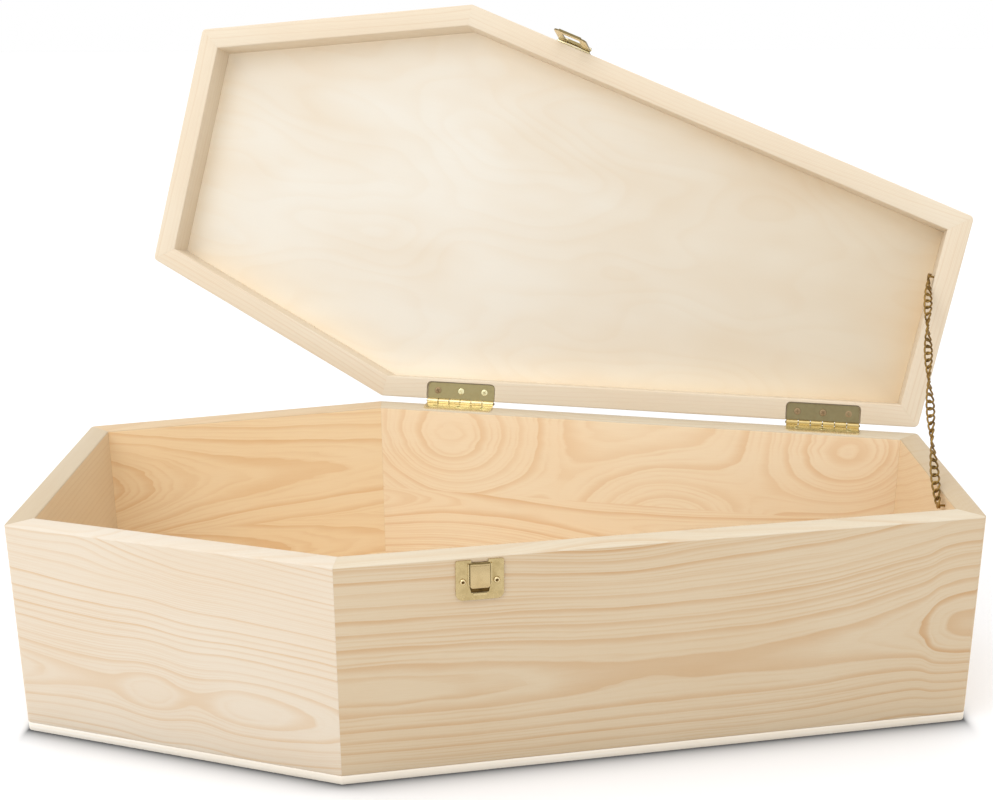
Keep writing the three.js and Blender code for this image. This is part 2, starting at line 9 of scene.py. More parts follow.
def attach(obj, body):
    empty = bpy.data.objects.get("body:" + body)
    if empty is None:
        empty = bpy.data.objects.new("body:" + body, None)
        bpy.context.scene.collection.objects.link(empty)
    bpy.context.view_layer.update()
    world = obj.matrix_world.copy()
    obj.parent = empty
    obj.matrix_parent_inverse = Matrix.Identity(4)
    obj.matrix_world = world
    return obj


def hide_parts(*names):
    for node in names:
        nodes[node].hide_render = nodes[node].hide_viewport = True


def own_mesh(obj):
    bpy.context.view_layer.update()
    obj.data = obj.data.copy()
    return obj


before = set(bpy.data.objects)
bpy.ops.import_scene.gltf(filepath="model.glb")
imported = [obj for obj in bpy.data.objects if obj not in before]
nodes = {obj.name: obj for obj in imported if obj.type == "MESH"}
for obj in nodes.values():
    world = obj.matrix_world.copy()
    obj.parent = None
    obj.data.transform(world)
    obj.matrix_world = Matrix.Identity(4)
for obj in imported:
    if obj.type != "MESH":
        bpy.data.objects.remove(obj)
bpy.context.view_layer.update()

scene = bpy.context.scene
print("frame loaded,", len(nodes), "nodes")

# the box: sizes in metres, head at the left, hinges at the back
coffin = {
    "corners": [(-0.29, -0.089), (-0.089, -0.147), (0.29, -0.0745),
                (0.29, 0.0745), (-0.089, 0.147), (-0.29, 0.089)],
    "wall": 0.015,
    "bottom": 0.006,
    "rim": 0.137,
    "lidRim": 0.1375,
    "rail": 0.0235,
    "panel": 0.006,
    "open": 105.0,
    "pinBehind": 0.0016,
    "pinAbove": 0.002,
}
corners = [Vector((x, y, 0)) for x, y in coffin["corners"]]
headEnd = corners[0].x
upwards = Vector((0, 0, 1))


def cornerInside(index, inset):
    here = corners[index]
    before = (corners[(index + 5) % 6] - here).normalized()
    after = (corners[(index + 1) % 6] - here).normalized()
    half = before.angle(after) / 2
    return here + (before + after).normalized() * inset / math.sin(half)


inside = [cornerInside(i, coffin["wall"]) for i in range(6)]


# frame of a straight side: x along it, y and z as given
def sideFrame(start, end, height, across=None):
    along = (end - start).normalized()
    across = across or upwards
    out = along.cross(across)
    turn = Matrix((along, across, out)).transposed().to_4x4()
    return Matrix.Translation(start + upwards * height) @ turn


def edgeFrame(start, end, slide, height):
    along = (end - start).normalized()
    return sideFrame(start, end, height, upwards.cross(along)) @ Matrix.Translation((slide, 0, 0))


# turns what is drawn with the lid shut to where the lid stands open
def openLid():
    along = (corners[3] - corners[4]).normalized()
    height = coffin["rim"] + coffin["pinAbove"]
    pin = corners[4] + upwards.cross(along) * coffin["pinBehind"] + upwards * height
    swing = Matrix.Rotation(-math.radians(coffin["open"]), 4, along)
    return Matrix.Translation(pin) @ swing @ Matrix.Translation(-pin)


lidOpen = openLid()


def placed(name, data):
    item = bpy.data.objects.new(name, data)
    scene.collection.objects.link(item)
    return item


# ---- camera first, so that everything else can be judged against it
view = {"place": (0.01006, -0.82957, 0.45533), "yaw": -0.7780, "pitch": 18.0218, "roll": -0.2485,
        "lens": 49.825}


def addCamera():
    yaw, pitch, roll = (math.radians(view[key]) for key in ("yaw", "pitch", "roll"))
    ahead = Vector((math.sin(yaw) * math.cos(pitch), math.cos(yaw) * math.cos(pitch), -math.sin(pitch)))
    level = Vector((math.cos(yaw), -math.sin(yaw), 0))
    over = level.cross(ahead)
    right = level * math.cos(roll) + over * math.sin(roll)
    up = over * math.cos(roll) - level * math.sin(roll)
    turn = Matrix((right, up, -ahead)).transposed().to_4x4()
    data = bpy.data.cameras.new("photoCamera")
    data.lens = view["lens"]
    data.sensor_width = 36
    data.clip_end = 50
    camera = placed("photoCamera", data)
    camera.matrix_world = Matrix.Translation(view["place"]) @ turn
    scene.camera = camera


addCamera()
print("camera set")


# colour given as the eye reads it on a screen, 0 to 255
def tone(red, green, blue):
    return tuple(((part / 255 + 0.055) / 1.055) ** 2.4 for part in (red, green, blue)) + (1.0,)


# ---- small helpers for building materials; each finds its node tree through the values it gets
def feed(socket, value):
    if isinstance(value, bpy.types.NodeSocket):
        socket.id_data.links.new(value, socket)
    else:
        socket.default_value = value


def newNode(kind, *values):
    tree = next(value.id_data for value in values if isinstance(value, bpy.types.NodeSocket))
    return tree.nodes.new("ShaderNode" + kind)


def calc(operation, *values):
    node = newNode("Math", *values)
    node.operation = operation
    for slot, value in enumerate(values):
        feed(node.inputs[slot], value)
    return node.outputs[0]


# one value times another, with a third added where there is one
def times(*values):
    return calc("MULTIPLY_ADD" if len(values) == 3 else "MULTIPLY", *values)


def vector(operation, *values):
    node = newNode("VectorMath", *values)
    node.operation = operation
    slots = (0, "Scale") if operation == "SCALE" else range(len(values))
    for slot, value in zip(slots, values):
        feed(node.inputs[slot], value)
    return node.outputs["Value" if operation == "DOT_PRODUCT" else "Vector"]


def noise(place, scale=1.0, detail=2.0, roughness=0.5):
    node = newNode("TexNoise", place)
    feed(node.inputs["Vector"], place)
    node.inputs["Scale"].default_value = scale
    node.inputs["Detail"].default_value = detail
    node.inputs["Roughness"].default_value = roughness
    return node.outputs[0]


def mixTones(share, first, second, blend="MIX"):
    node = newNode("Mix", share, first, second)
    node.data_type = "RGBA"
    node.blend_type = blend
    feed(node.inputs[0], share)
    feed(node.inputs[6], first)
    feed(node.inputs[7], second)
    return node.outputs[2]


def ramp(share, stops):
    node = newNode("ValToRGB", share)
    feed(node.inputs[0], share)
    while len(node.color_ramp.elements) < len(stops):
        node.color_ramp.elements.new(0.5)
    for element, (place, value) in zip(node.color_ramp.elements, stops):
        element.position = place
        element.color = value if isinstance(value, tuple) else (value, value, value, 1)
    return node.outputs[0]


# across and height: the size in millimetres of the sheet that the curve is drawn on
def curve(share, points, across=400, height=200):
    node = newNode("FloatCurve", share)
    feed(node.inputs["Value"], calc("DIVIDE", share, across))
    mapping = node.mapping
    line = mapping.curves[0]
    while len(line.points) < len(points):
        line.points.new(0.5, 0.5)
    for point, (x, y) in zip(line.points, points):
        point.location = (x / across, y / height)
    mapping.use_clip = False
    mapping.update()
    return times(node.outputs[0], height)


def startMaterial(name):
    material = bpy.data.materials.new(name)
    material.use_nodes = True
    tree = material.node_tree
    return material, tree, tree.nodes["Principled BSDF"]


def bump(shader, height, distance, strength):
    node = newNode("Bump", height)
    node.inputs["Distance"].default_value = distance
    node.inputs["Strength"].default_value = strength
    feed(node.inputs["Height"], height)
    feed(shader.inputs["Normal"], node.outputs[0])


# the point in a board's own frame, in millimetres
def boardPoint(tree, place):
    source = tree.nodes.new("ShaderNodeTexCoord")
    mapping = tree.nodes.new("ShaderNodeMapping")
    back = place.inverted()
    mapping.inputs["Scale"].default_value = (1000, 1000, 1000)
    mapping.inputs["Rotation"].default_value = back.to_euler("XYZ")
    mapping.inputs["Location"].default_value = back.translation * 1000
    tree.links.new(source.outputs["Object"], mapping.inputs["Vector"])
    return mapping.outputs[0]


# how far a point lies outside each side of the six-sided outline
def sideDistances(point, outline):
    for i, here in enumerate(outline):
        out = (outline[(i + 1) % 6] - here).normalized().cross(upwards)
        yield calc("SUBTRACT", vector("DOT_PRODUCT", point, tuple(out)), out.dot(here)), out


# ---- shapes as (points, faces), small ones drawn in millimetres
millimetre = Matrix.Scale(0.001, 4)


# closed skin over rows of points, with the same count in each row
def skin(count, rows):
    last = count * (rows - 1)
    faces = [tuple(reversed(range(count))), tuple(range(last, last + count))]
    for row in range(0, last, count):
        for i in range(count):
            j = (i + 1) % count
            faces.append((row + i, row + j, row + j + count, row + i + count))
    return faces


def prism(outline, low, high):
    return [(x, y, level) for level in (low, high) for x, y in outline], skin(len(outline), 2)


# outline with a corner radius of its own at the bottom and at the top
def softRectangle(left, right, bottom, top, bottomRound, topRound, steps=6):
    places = [(right - bottomRound, bottom + bottomRound, bottomRound, -90),
              (right - topRound, top - topRound, topRound, 0),
              (left + topRound, top - topRound, topRound, 90),
              (left + bottomRound, bottom + bottomRound, bottomRound, 180)]
    outline = []
    for x, y, radius, start in places:
        for step in range(steps + 1):
            angle = math.radians(start + 90 * step / steps)
            outline.append((x + radius * math.cos(angle), y + radius * math.sin(angle)))
    return outline


# turned shape; the profile runs up from the bottom of the axis to its top
def turned(profile, sides=28):
    points, faces, rows = [], [], []
    for radius, height in profile:
        if radius == 0:
            rows.append([len(points)])
            points.append((0, 0, height))
            continue
        rows.append([len(points) + i for i in range(sides)])
        for i in range(sides):
            angle = 2 * math.pi * i / sides
            points.append((radius * math.cos(angle), radius * math.sin(angle), height))
    for low, high in zip(rows, rows[1:]):
        for i in range(sides):
            j = (i + 1) % sides
            loop = [low[i % len(low)], low[j % len(low)], high[j % len(high)], high[i % len(high)]]
            face = tuple(dict.fromkeys(loop))
            if len(face) > 2:
                faces.append(face)
    return points, faces


def moved(shape, matrix):
    return [tuple(matrix @ Vector(point)) for point in shape[0]], shape[1]


def block(low, high):
    outline = [(low[0], low[1]), (high[0], low[1]), (high[0], high[1]), (low[0], high[1])]
    return prism(outline, low[2], high[2])


def rod(radius, start, end, y, z, ease=0.0):
    profile = [(0, start), (radius, start), (radius, end), (0, end)]
    if ease:
        profile = [(0, start), (radius - ease, start), (radius, start + ease), (radius, end - ease),
                   (radius - ease, end), (0, end)]
    lying = Matrix.Translation((0, y, z)) @ Matrix.Rotation(math.radians(90), 4, "Y")
    return moved(turned(profile), lying)


# plate standing on the front: back at y = -near, face at y = -far; the outline is in x and z
def standing(outline, near, far):
    return moved(prism(outline, near, far), Matrix.Rotation(math.radians(90), 4, "X"))


# strip bent in its height and stand-off, as wide as given
def bentStrip(profile, width):
    upright = Matrix(((0, 0, 1, 0), (0, -1, 0, 0), (1, 0, 0, 0), (0, 0, 0, 1)))
    return moved(prism(profile, -width / 2, width / 2), upright)


def looseObject(name, shape):
    mesh = bpy.data.meshes.new(name)
    mesh.from_pydata(shape[0], [], shape[1])
    form = bmesh.new()
    form.from_mesh(mesh)
    bmesh.ops.recalc_face_normals(form, faces=form.faces)
    form.to_mesh(mesh)
    form.free()
    return placed(name, mesh)


edgeLook = {"softened": 38.0, "drawnSharp": 32.0, "steps": 2}      # degrees between two faces, from


# joins shapes to a base, cuts others away and takes the sharpness off its edges
def carve(name, base, adds=(), cuts=(), soften=0.0):
    main = looseObject(name, base)
    helpers = []
    for shape, work in [(add, "UNION") for add in adds] + [(cut, "DIFFERENCE") for cut in cuts]:
        helper = looseObject("helper", shape)
        modifier = main.modifiers.new("shape", "BOOLEAN")
        modifier.operation = work
        modifier.solver = "EXACT"
        modifier.object = helper
        helpers.append(helper)
    if soften:
        bevel = main.modifiers.new("soften", "BEVEL")
        bevel.width = soften
        bevel.segments = edgeLook["steps"]
        bevel.limit_method = "ANGLE"
        bevel.angle_limit = math.radians(edgeLook["softened"])
    bpy.context.view_layer.update()
    graph = bpy.context.evaluated_depsgraph_get()
    mesh = bpy.data.meshes.new_from_object(main.evaluated_get(graph))
    for item in helpers + [main]:
        bpy.data.objects.remove(item, do_unlink=True)
    mesh.shade_smooth()
    mesh.set_sharp_from_angle(angle=math.radians(edgeLook["drawnSharp"]))
    return mesh


# second: another material and the faces of the mesh, as drawn, that get it
def setPiece(name, mesh, material, body, place, replaced, second=None):
    picked = [face.index for face in mesh.polygons if second[1](face)] if second else []
    mesh = mesh.copy()
    mesh.name = name
    mesh.transform(place)
    mesh.materials.clear()
    mesh.materials.append(material)
    if second:
        mesh.materials.append(second[0])
    for index in picked:
        mesh.polygons[index].material_index = 1
    piece = placed(name, mesh)
    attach(piece, body)
    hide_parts(*replaced)


# ---- pine: growth rings round a pith that runs behind the board's face
pineLook = {
    "slow": 10.0, "waver": 0.5, "uneven": 0.6, "faint": 0.3, "blush": 0.6, "hills": (),
    "fibre": 0.28, "rough": 0.51, "shine": 0.32, "relief": 0.00006,
    "profile": [(0.0, 0.5), (0.07, 0.0), (0.62, 0.06), (0.84, 0.8), (0.95, 1.0)],
    "between": [(0.0, 0.5), (0.18, 0.0), (0.55, 0.0), (0.9, 1.0)],
    "sanded": 0.7,                                         # below the upper edge, in millimetres
}


# what a board's own look leaves out is as in the common one
def pine(name, place, look):
    look = dict(pineLook, **look)
    material, tree, shader = startMaterial(name)
    point = boardPoint(tree, place)
    split = tree.nodes.new("ShaderNodeSeparateXYZ")
    tree.links.new(point, split.inputs[0])
    x, y, z = split.outputs
    seed = look["seed"]

    def stretched(sx, sy, sz, shift=0.0):
        moved = vector("ADD", point, (seed * 37.0 + shift, seed * 11.0, seed * 5.0))
        return vector("MULTIPLY", moved, (sx, sy, sz))

    slow = noise(stretched(0.006, 0.02, 0.02), detail=1.0)
    waver = noise(stretched(0.022, 0.11, 0.11))
    pith = {key: curve(x, look[key]) for key in ("centre", "depth")}
    if "strip" in look:                                    # a second strip glued on below the first
        low = calc("LESS_THAN", y, look["strip"]["below"])
        for key, first in pith.items():
            pith[key] = times(calc("SUBTRACT", curve(x, look["strip"][key]), first), low, first)
    slowShift = times(calc("SUBTRACT", slow, 0.5), look["slow"])
    away = calc("SUBTRACT", y, calc("ADD", pith["centre"], slowShift))
    down = calc("ADD", pith["depth"], z)
    radius = calc("SQRT", calc("ADD", times(away, away), times(down, down)))
    ring = calc("DIVIDE", radius, look["gap"])
    upper = calc("SUBTRACT", 1.0, low) if "strip" in look else None
    for bx, by, sx, sy, height in look["hills"]:
        offset = vector("SUBTRACT", point, (bx, by, 0))
        offset = vector("MULTIPLY", offset, (1 / sx, 1 / sy, 0.01))
        hill = calc("EXPONENT", times(vector("DOT_PRODUCT", offset, offset), -1.0))
        if upper:
            hill = times(hill, upper)
        ring = times(hill, height, ring)
    ring = times(calc("SUBTRACT", waver, 0.5), look["waver"], ring)
    late = ramp(calc("FRACT", ring), look["profile"])
    pick = tree.nodes.new("ShaderNodeTexWhiteNoise")
    pick.noise_dimensions = "1D"
    tree.links.new(calc("FLOOR", ring), pick.inputs["W"])
    force = times(pick.outputs[0], look["uneven"], 1.0 - look["uneven"])
    patches = noise(stretched(0.012, 0.03, 0.03, 50.0))
    force = times(force, times(patches, 0.9, 0.55))
    late = times(late, times(force, look["lines"]))
    # fainter lines between the rings, in places only
    between = ramp(calc("FRACT", times(ring, 3.0, 0.4)), look["between"])
    where = ramp(noise(stretched(0.009, 0.045, 0.045, 80.0)), [(0.4, 0.15), (0.66, 1.0)])
    faint = times(between, times(where, look["faint"]))
    late = calc("MAXIMUM", late, faint)
    edge = (coffin["rim"] - coffin["bottom"]) * 1000 - look["sanded"]
    above = calc("GREATER_THAN", y, edge)
    late = times(late, times(above, -0.55, 1.0))

    fibre = noise(stretched(0.05, 1.6, 1.6), detail=3.0, roughness=0.65)
    pores = noise(stretched(0.12, 4.5, 4.5))
    pale, warm, dark = (tone(*look[key]) for key in ("pale", "warm", "late"))
    cloud = ramp(noise(stretched(0.007, 0.018, 0.018, 9.0)), [(0.3, 0.0), (0.75, 1.0)])
    base = mixTones(times(cloud, look["blush"]), pale, warm)
    wood = mixTones(late, base, dark)
    streak = times(calc("SUBTRACT", fibre, 0.42), look["fibre"])
    wood = mixTones(calc("MAXIMUM", streak, 0.0), wood, dark)
    if "rim" in look:                                      # the sanded upper edge gets a tone of its own per board, partly painted light and shade: lighter than the face on the front boards, darker on the inner ones
        wood = mixTones(above, wood, look["rim"] + (1,), "MULTIPLY")
    tree.links.new(wood, shader.inputs["Base Color"])
    rough = times(fibre, 0.16, look["rough"])
    tree.links.new(times(late, -0.12, rough), shader.inputs["Roughness"])
    shader.inputs["Specular IOR Level"].default_value = look["shine"]
    relief = calc("ADD", times(late, 0.5), calc("ADD", fibre, pores))
    bump(shader, relief, look["relief"], 0.55)
    return material


bottomTop = coffin["bottom"]
boxBoards = {
    "box_front_head_side": {
        "place": sideFrame(corners[0], corners[1], bottomTop), "seed": 1, "gap": 3.1,
        "pale": (216, 204, 186), "warm": (212, 193, 168), "late": (201, 163, 116),
        "rim": (1.0, 1.03, 1.07), "lines": 0.62, "uneven": 0.85,
        "centre": [(0, 38), (60, 36), (117, 34), (190, 33), (400, 33)],
        "depth": [(0, 28.9), (60, 30.7), (90, 28.9), (117, 30.8), (148, 28.9), (190, 30.8),
                  (215, 33), (400, 40)],
        "hills": [(0, 150, 150, 55, -7.0), (52, 128, 24, 14, -1.2)], "waver": 0.4, "slow": 3.0,
    },
    "box_front_long_side": {
        "place": sideFrame(corners[1], corners[2], bottomTop), "seed": 2, "gap": 4.7,
        # this side's colours are darker than the head side's: partly painted shade, for the side turned from
        # the light
        "pale": (204, 186, 158), "warm": (199, 176, 143), "late": (184, 141, 92),
        "rim": (1.09, 1.19, 1.34), "lines": 0.72, "uneven": 0.85, "faint": 0.42,
        "centre": [(0, 51), (200, 48), (280, 50), (350, 58), (400, 60)],
        "depth": [(0, 35.1), (100, 36.2), (150, 37.6), (200, 38.1), (280, 37.2), (338, 35.4), (352, 33.8),
                  (363, 30.2), (400, 29)],
        "hills": [(200, 160, 420, 62, -5.0), (160, 152, 52, 38, 1.5)], "waver": 0.3, "slow": 3.0,
    },
    "box_foot_end": {
        "place": sideFrame(inside[3], inside[2], bottomTop), "seed": 3, "gap": 5.2,
        "pale": (228, 205, 171), "warm": (224, 196, 157), "late": (210, 168, 120), "lines": 0.4,
        "rim": (0.72, 0.75, 0.79),
        "centre": [(0, 20), (120, 70), (400, 150)], "depth": [(0, 30), (120, 33), (400, 40)],
    },
    "box_back_long_side": {
        "place": sideFrame(inside[4], inside[3], bottomTop), "seed": 4, "gap": 5.6,
        "pale": (239, 221, 191), "warm": (239, 211, 173), "late": (217, 171, 118),
        "rim": (0.71, 0.76, 0.82), "lines": 0.6, "uneven": 0.7,
        "centre": [(0, 60), (400, 60)], "depth": [(0, 230), (400, 230)],
        "hills": [(52, 106, 72, 56, 7.6), (338, 113, 66, 52, 7.6), (212, 46, 78, 62, 8.4)],
        "strip": {"below": 68, "centre": [(0, 58), (60, 60), (200, 50), (400, 62)],
                  "depth": [(0, 8), (60, 14), (200, 12), (300, 9), (400, 10)]},
        "waver": 0.35, "slow": 4.0,
    },
    "box_back_head_side": {
        "place": sideFrame(inside[5], inside[4], bottomTop), "seed": 5, "gap": 6.5,
        "pale": (240, 216, 178), "warm": (238, 207, 161), "late": (216, 166, 108), "lines": 0.5,
        "rim": (0.73, 0.73, 0.76),
        "centre": [(0, 88), (100, 87), (400, 86)],
        "depth": [(0, 17), (28, 25.6), (55, 32), (150, 38.8), (400, 45)],
        "strip": {"below": 49, "centre": [(0, 40), (100, 30), (400, 20)],
                  "depth": [(0, 12), (100, 18), (400, 40)]},
        "waver": 0.5, "slow": 4.0,
    },
    "box_head_end": {
        "place": sideFrame(inside[0], inside[5], bottomTop), "seed": 6, "gap": 4.0,
        "pale": (217, 194, 160), "warm": (212, 184, 145), "late": (196, 159, 116), "lines": 0.35,
        "rim": (0.8, 0.86, 0.96),
        "centre": [(0, 0), (400, 10)], "depth": [(0, 50), (400, 60)],
    },
}


def lidSide(index):
    start, end = corners[index], corners[(index + 1) % 6]
    return lidOpen @ edgeFrame(start, end, 0.0, coffin["lidRim"])


railLook = {"gap": 2.6, "lines": 0.34, "waver": 0.7, "slow": 4.0, "blush": 0.5, "uneven": 0.8,
            "pale": (222, 210, 189), "warm": (219, 199, 171), "late": (200, 168, 130)}
railCentres = {
    "lid_front_head_side": -40, "lid_front_long_side": -55, "lid_foot_end": -35,
    "lid_back_long_side": -50, "lid_back_head_side": -30, "lid_head_end": -45,
}

# section of a board from its outer face to its inner one, with rounded long edges
def boardSection(width, low, high, easeLow, easeHigh, steps=3):
    section = softRectangle(0, width, low, high, easeLow, easeHigh, steps)
    return section[-steps - 1:] + section[:-steps - 1]


boardLook = {"joint": 0.00002, "ease": 0.0009, "cutEase": 0.0002, "gap": 0.0001, "corner": 0.0035, "turn": 4}


# from the mitre out along a side: pairs of outer and inner points, round the sanded corner
def mitreStations(index, towards, width):
    radius, turns = boardLook["corner"], boardLook["turn"]
    along = (corners[towards] - corners[index]).normalized()
    outward = along.cross(upwards) if towards == (index + 1) % 6 else upwards.cross(along)
    centre = cornerInside(index, radius)
    bisector = (corners[index] - centre).normalized()
    inner = cornerInside(index, width)
    stations = []
    for step in range(turns + 1):
        share = step / turns
        push = along * (boardLook["joint"] if step == 0 else 0)
        outer = centre + bisector.lerp(outward, share).normalized() * radius
        stations.append((outer + push, inner + push + along * 0.002 * share))
    return stations


# board along one side of the outline, mitred at both ends; what meets the plywood is hardly eased
def mitredBoard(index, width, low, high, easeLow, easeHigh):
    after = (index + 1) % 6
    section = boardSection(width, low, high, easeLow, easeHigh)
    stations = mitreStations(index, after, width) + mitreStations(after, index, width)[::-1]
    points = []
    for outer, inner in stations:
        for depth, height in section:
            points.append(tuple(outer.lerp(inner, depth / width) + upwards * height))
    return points, [tuple(reversed(face)) for face in skin(len(section), len(stations))]


# plywood panel with the whole outline; each level is an inset and a height
def panelShape(levels):
    radius, turns = boardLook["corner"], boardLook["turn"]
    points = []
    for inset, height in levels:
        for index in range(6):
            centre = cornerInside(index, radius) + upwards * height
            before = (corners[index] - corners[index - 1]).normalized().cross(upwards)
            after = (corners[(index + 1) % 6] - corners[index]).normalized().cross(upwards)
            for step in range(2 * turns + 1):
                out = before.lerp(after, step / (2 * turns)).normalized()
                points.append(tuple(centre + out * (radius - inset)))
    return points, skin(6 * (2 * turns + 1), len(levels))


boxSides = ["front_head_side", "front_long_side", "foot_end", "back_long_side", "back_head_side", "head_end"]
hinge = {
    "fromShoulder": 60.0, "fromFoot": 64.5, "length": 50.0, "reach": 12.1, "sheet": 1.2, "corner": 2.6,
    "barrel": 2.0, "knuckles": 6, "gap": 0.3, "behind": 1.6, "above": 2.0, "pin": 0.85, "clear": 0.15,
    "overhang": 0.7, "margin": 0.8, "screwStep": 17.6, "screwIn": 6.3, "headRadius": 2.4, "headDepth": 1.1,
    "shank": 1.0, "screwLength": 9.0,
}
backLength = (corners[3] - corners[4]).length * 1000
hingePlaces = {"head": hinge["fromShoulder"], "foot": backLength - hinge["fromFoot"]}


def hingeFrame(which):
    return edgeFrame(corners[4], corners[3], hingePlaces[which] / 1000, coffin["rim"]) @ millimetre


# pocket for both leaves, a little wider than they are
def hingePocket(which):
    half = hinge["length"] / 2 + hinge["margin"]
    rounding = hinge["corner"] + hinge["margin"]
    outline = softRectangle(-half, half, -hinge["reach"] - hinge["margin"], 3.0, rounding, 1.0)
    return moved(prism(outline, -1.0, 2 * hinge["above"] + 0.1), hingeFrame(which))


def addBoards():
    ease, sharp = boardLook["ease"], boardLook["cutEase"]
    low = coffin["bottom"] + boardLook["gap"]
    for index, side in enumerate(boxSides):
        name = "box_" + side
        look = boxBoards[name]
        shape = mitredBoard(index, coffin["wall"], low, coffin["rim"], sharp, ease)
        setPiece(name + "_board", carve(name, shape), pine(name + "Pine", look["place"], look), "base",
                 Matrix.Identity(4), (name,))
    top = coffin["lidRim"] + coffin["rail"]
    for index, side in enumerate(boxSides):
        name = "lid_" + side
        middle = railCentres[name]
        look = dict(railLook, seed=10 + index, depth=[(0, 22), (200, 26), (400, 30)],
                    centre=[(0, middle), (200, middle + 5), (400, middle - 3)])
        shape = mitredBoard(index, coffin["wall"], coffin["lidRim"], top, ease, sharp)
        cuts = [hingePocket(which) for which in hingePlaces] if side == "back_long_side" else []
        setPiece(name + "_rail", carve(name, shape, cuts=cuts), pine(name + "Pine", lidSide(index), look),
                 "lid", lidOpen, (name,))


addBoards()
print("pine boards done")


# ---- plywood: faint veneer figure on the faces, thin plies on the edges
plyLook = {"face": (224, 219, 208), "figure": (216, 199, 174), "core": (212, 190, 158), "plies": 5}
# the bottom panel's plywood is paler than the common one: partly its own colour, partly painted light that
# lifts its edge strip out of the shade at the floor
bottomPly = dict(plyLook, face=(254, 248, 238), figure=(244, 230, 208), core=(243, 230, 208))


# fade: how much darker and warmer it gets from one place along the box to another
def plywood(name, place, seed, fade, look):
    pale, figure, dark = (tone(*look[key]) for key in ("face", "figure", "core"))
    material, tree, shader = startMaterial(name)
    point = boardPoint(tree, place)
    moved = vector("ADD", point, (seed * 41.0, seed * 17.0, 0))
    field = noise(vector("MULTIPLY", moved, (0.0045, 0.012, 0.01)), roughness=0.4)
    wave = calc("FRACT", times(field, 16.0))
    lines = ramp(wave, [(0.0, 0.3), (0.1, 0.0), (0.5, 0.05), (0.9, 0.9), (1.0, 0.5)])
    patches = noise(vector("MULTIPLY", moved, (0.008, 0.02, 0.01)))
    fibre = noise(vector("MULTIPLY", moved, (0.05, 1.3, 1.3)), detail=3.0, roughness=0.6)
    face = mixTones(times(lines, times(patches, 0.32)), pale, figure)
    face = mixTones(ramp(patches, [(0.4, 0.0), (0.8, 0.5)]), face, figure)
    face = mixTones(times(fibre, 0.14), face, figure)
    # only the edges show the plies: inside the outermost veneers the level decides
    split = tree.nodes.new("ShaderNodeSeparateXYZ")
    tree.links.new(point, split.inputs[0])
    level = calc("DIVIDE", split.outputs[2], coffin["panel"] * 1000 / look["plies"])
    grain = noise(vector("MULTIPLY", moved, (0.9, 0.9, 6.0)), detail=3.0, roughness=0.7)
    level = times(calc("SUBTRACT", grain, 0.5), 0.12, level)
    odd = calc("GREATER_THAN", calc("MODULO", level, 2.0), 1.0)
    core = mixTones(times(grain, 0.8, 0.1), pale, dark)
    wood = mixTones(times(odd, 0.75), face, core)
    spread = calc("DIVIDE", calc("SUBTRACT", split.outputs[0], fade["from"]), fade["to"] - fade["from"])
    spread = ramp(spread, [(0.0, 0.0), (1.0, fade["share"])])
    wood = mixTones(spread, wood, tone(*fade["tone"]), "MULTIPLY")
    if "paintedLight" in fade:                                     # painted light: the sheet is made lighter along the rails, against the shade they cast on it
        outline = [(corner - Vector((headEnd, 0, 0))) * 1000 for corner in corners]
        inner = None
        for away, out in sideDistances(point, outline):
            inner = calc("MAXIMUM", inner, away) if inner else away
        near = calc("DIVIDE", calc("ADD", inner, coffin["wall"] * 1000), fade["paintedLightReach"])
        wood = mixTones(calc("EXPONENT", near), wood, fade["paintedLight"] + (1,), "MULTIPLY")
    tree.links.new(wood, shader.inputs["Base Color"])
    tree.links.new(times(fibre, 0.15, 0.5), shader.inputs["Roughness"])
    shader.inputs["Specular IOR Level"].default_value = 0.3
    bump(shader, calc("ADD", fibre, times(lines, 0.3)), 0.00005, 0.5)
    return material


def addPanels():
    sheet, ease, gap = coffin["panel"], boardLook["ease"], boardLook["gap"]
    bottom = panelShape([(ease, 0.0), (ease * 0.3, ease * 0.3), (0.0, ease), (0.0, sheet - gap)])
    wood = plywood("bottomPlywood", Matrix.Translation((headEnd, 0, 0)), 1,
                   {"from": 0, "to": 580, "share": 0.4, "tone": (240, 232, 220)}, bottomPly)
    setPiece("box_bottom_panel", carve("bottom", bottom), wood, "base", Matrix.Identity(4),
             ("box_bottom",))
    low = coffin["lidRim"] + coffin["rail"]
    top = panelShape([(0.0, low + gap), (0.0, low + sheet - ease), (ease * 0.3, low + sheet - ease * 0.3),
                      (ease, low + sheet)])
    # on the lid the fade is painted shade, darker towards the foot end
    wood = plywood("lidPlywood", lidOpen @ Matrix.Translation((headEnd, 0, low)), 2,
                   {"from": 230, "to": 560, "share": 1.0, "tone": (240, 232, 219),
                    "paintedLight": (1.22, 1.16, 1.06), "paintedLightReach": 16.0}, plyLook)
    setPiece("lid_panel_sheet", carve("top", top), wood, "lid", lidOpen, ("lid_panel",))


addPanels()
print("plywood done")


# ---- brass
def metal(name, colour, stain, rough, stainShare, bumpHeight):
    material, tree, shader = startMaterial(name)
    source = tree.nodes.new("ShaderNodeTexCoord")
    place = source.outputs["Object"]
    cloud = noise(place, 260.0, 4.0, 0.6)
    scratch = noise(vector("MULTIPLY", place, (300.0, 2200.0, 2200.0)), 1.0, 3.0, 0.6)
    spots = ramp(cloud, [(0.42, 0.0), (0.72, 1.0)])
    shade = mixTones(times(spots, stainShare), tone(*colour), tone(*stain))
    edges = tree.nodes.new("ShaderNodeNewGeometry").outputs["Pointiness"]
    worn = ramp(edges, [(0.49, 0.0), (0.56, 0.6)])
    tree.links.new(mixTones(worn, shade, tone(*(min(255, part + 28) for part in colour))),
                   shader.inputs["Base Color"])
    shader.inputs["Metallic"].default_value = 1.0
    level = times(spots, 0.14, rough)
    tree.links.new(times(scratch, 0.08, level), shader.inputs["Roughness"])
    bump(shader, calc("ADD", scratch, cloud), bumpHeight, 0.5)
    return material


